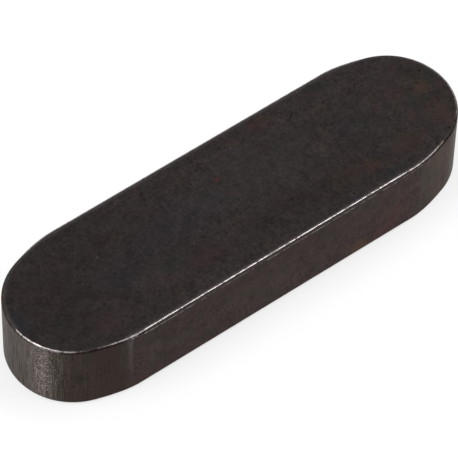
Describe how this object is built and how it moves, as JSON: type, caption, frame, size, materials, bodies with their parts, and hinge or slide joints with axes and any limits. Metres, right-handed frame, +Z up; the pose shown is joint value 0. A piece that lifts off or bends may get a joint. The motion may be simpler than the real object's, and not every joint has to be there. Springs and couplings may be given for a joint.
{
  "type": "parallel key",
  "caption": "Plain parallel key with rounded ends, chamfered long edges and a dark mill finish, for locking a hub to a shaft.",
  "frame": {"origin": "centre of the flat bottom face, which the key rests on", "axes": "+X along the key's length, +Y across its width from flank to flank, +Z up through its height"},
  "size_m": [0.125, 0.036, 0.02],
  "materials": {
    "key_steel": "dark brown-black mill oxide with light rust, worn to bare steel along the top edges"
  },
  "bodies": {
    "root": {"parallel_key": "key_steel"}
  },
  "joints": []
}
